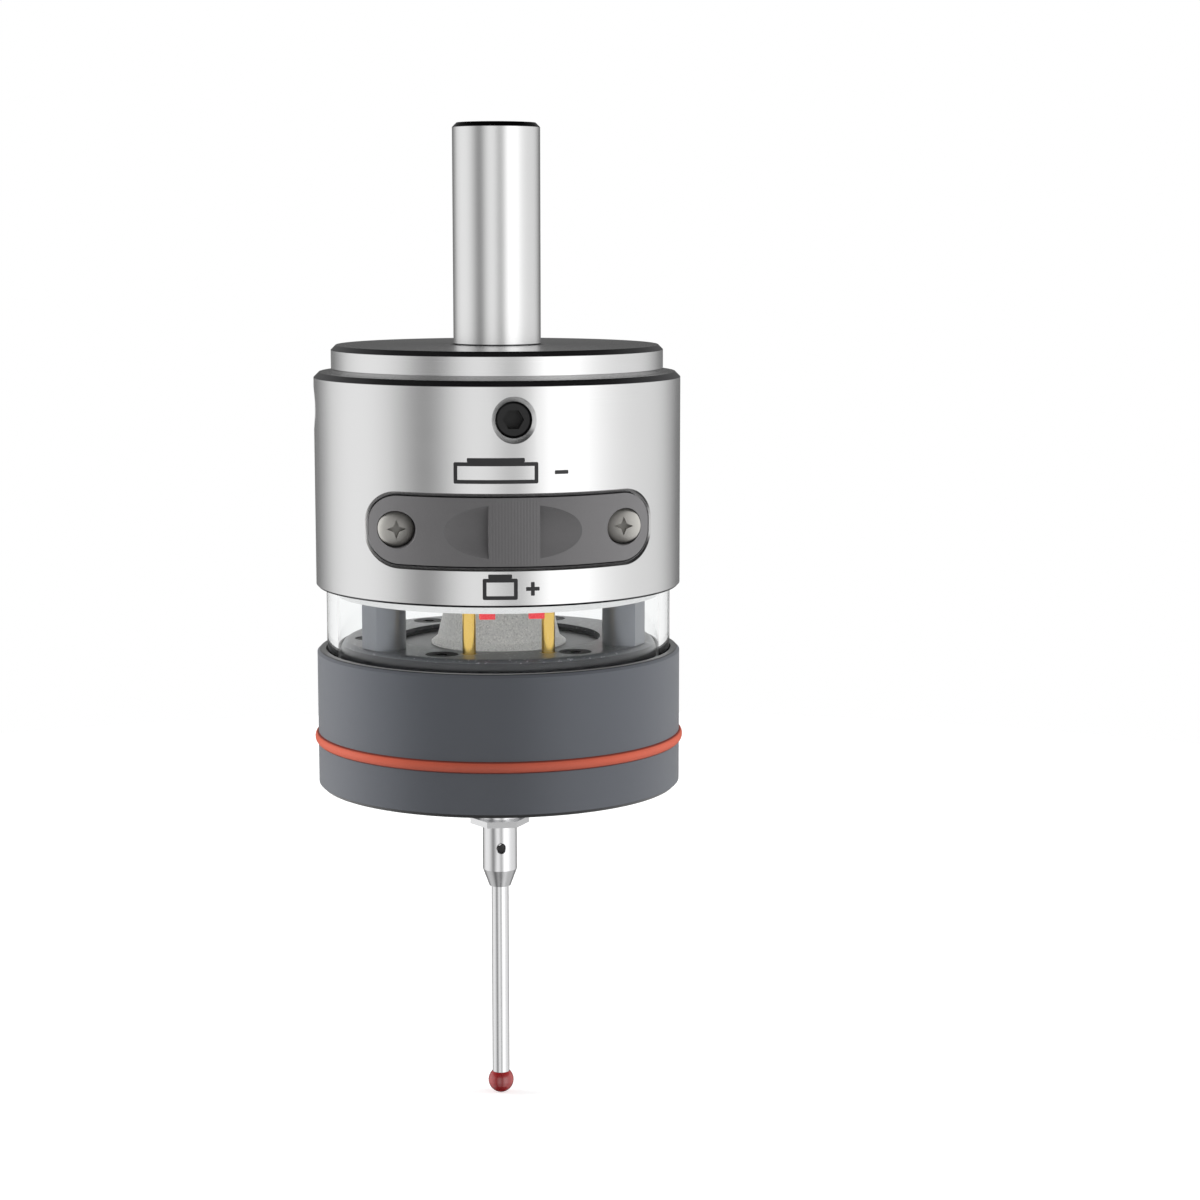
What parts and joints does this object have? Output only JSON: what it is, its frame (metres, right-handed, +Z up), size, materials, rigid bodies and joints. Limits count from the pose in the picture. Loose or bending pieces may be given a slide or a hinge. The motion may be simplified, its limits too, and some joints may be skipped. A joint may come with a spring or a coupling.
{
  "type": "optical edge finder",
  "caption": "Round workpiece probe with a plain shank, a battery housing, a clear signal window and a sprung stylus with a ruby ball.",
  "frame": {"origin": "on the axis, where the shank meets the flange's top face", "axes": "+Z up along the shank, battery cover towards -Y"},
  "size_m": [0.0428, 0.0428, 0.1138],
  "materials": {
    "ground_steel": "ground, satin",
    "turned_steel": "fine turned, satin",
    "black_steel": "black oxide",
    "cover_plastic": "moulded, dark grey",
    "screw_steel": "plated",
    "insulator": "moulded",
    "cell_steel": "nickel plated",
    "contact_strip": "spring strip",
    "board_laminate": "coated laminate",
    "red_light": "clear red",
    "clear_window": "polished clear",
    "grey_post": "anodised grey",
    "brass_pin": "polished",
    "dark_plate": "anodised dark grey",
    "frosted_cap": "frosted, speckled",
    "spring_steel": "drawn wire",
    "hardened_steel": "hardened and ground",
    "grey_housing": "anodised blue-grey",
    "orange_rubber": "smooth rubber cord",
    "stylus_steel": "polished",
    "ruby": "polished ruby"
  },
  "bodies": {
    "root": {"shank": "ground_steel", "top_flange": "turned_steel", "centering_screws": "black_steel", "upper_housing": "turned_steel", "battery_cover": "cover_plastic", "cover_screws": "screw_steel", "battery_sleeve": "insulator", "battery_cell": "cell_steel", "negative_contact": "contact_strip", "positive_contact": "contact_strip", "circuit_board": "board_laminate", "window_ring": "clear_window", "post_screws": "black_steel", "base_plate": "dark_plate", "plate_screws": "black_steel", "light_diffuser": "frosted_cap", "return_spring": "spring_steel", "ball_ring": "insulator", "seat_ring": "hardened_steel", "lower_housing": "grey_housing", "bumper_ring": "orange_rubber", "light_1": "red_light", "seat_ball_1": "hardened_steel", "light_2": "red_light", "seat_ball_2": "hardened_steel", "light_3": "red_light", "seat_ball_3": "hardened_steel", "light_4": "red_light", "seat_ball_4": "hardened_steel", "light_5": "red_light", "seat_ball_5": "hardened_steel", "light_6": "red_light", "seat_ball_6": "hardened_steel", "support_post_1": "grey_post", "support_post_2": "grey_post", "support_post_3": "grey_post", "contact_pin_1": "brass_pin", "pin_bush_1": "insulator", "contact_pin_2": "brass_pin", "pin_bush_2": "insulator"},
    "plunger": {"spring_plunger": "hardened_steel"},
    "pivot": {"pivot_ball": "hardened_steel"},
    "stylus": {"stylus_carrier": "stylus_steel", "contact_rod_1": "hardened_steel", "contact_rod_2": "hardened_steel", "contact_rod_3": "hardened_steel", "stylus_holder": "stylus_steel", "stylus_stem": "stylus_steel", "ruby_ball": "ruby"}
  },
  "joints": [
    {"name": "stylus_lift", "type": "slide", "parent": "root", "child": "plunger", "axis": [0, 0, 1], "range_m": [0, 0.0018], "stiffness_N_per_m": 800, "springref_m": -0.002, "deforming": ["return_spring"]},
    {"name": "stylus_tilt_x", "type": "hinge", "parent": "plunger", "child": "pivot", "pos_m": [0, 0, -0.04269], "axis": [1, 0, 0], "range_deg": [-6, 6], "stiffness_Nm_per_rad": 0.06},
    {"name": "stylus_tilt_y", "type": "hinge", "parent": "pivot", "child": "stylus", "pos_m": [0, 0, -0.04269], "axis": [0, 1, 0], "range_deg": [-6, 6], "stiffness_Nm_per_rad": 0.06}
  ]
}
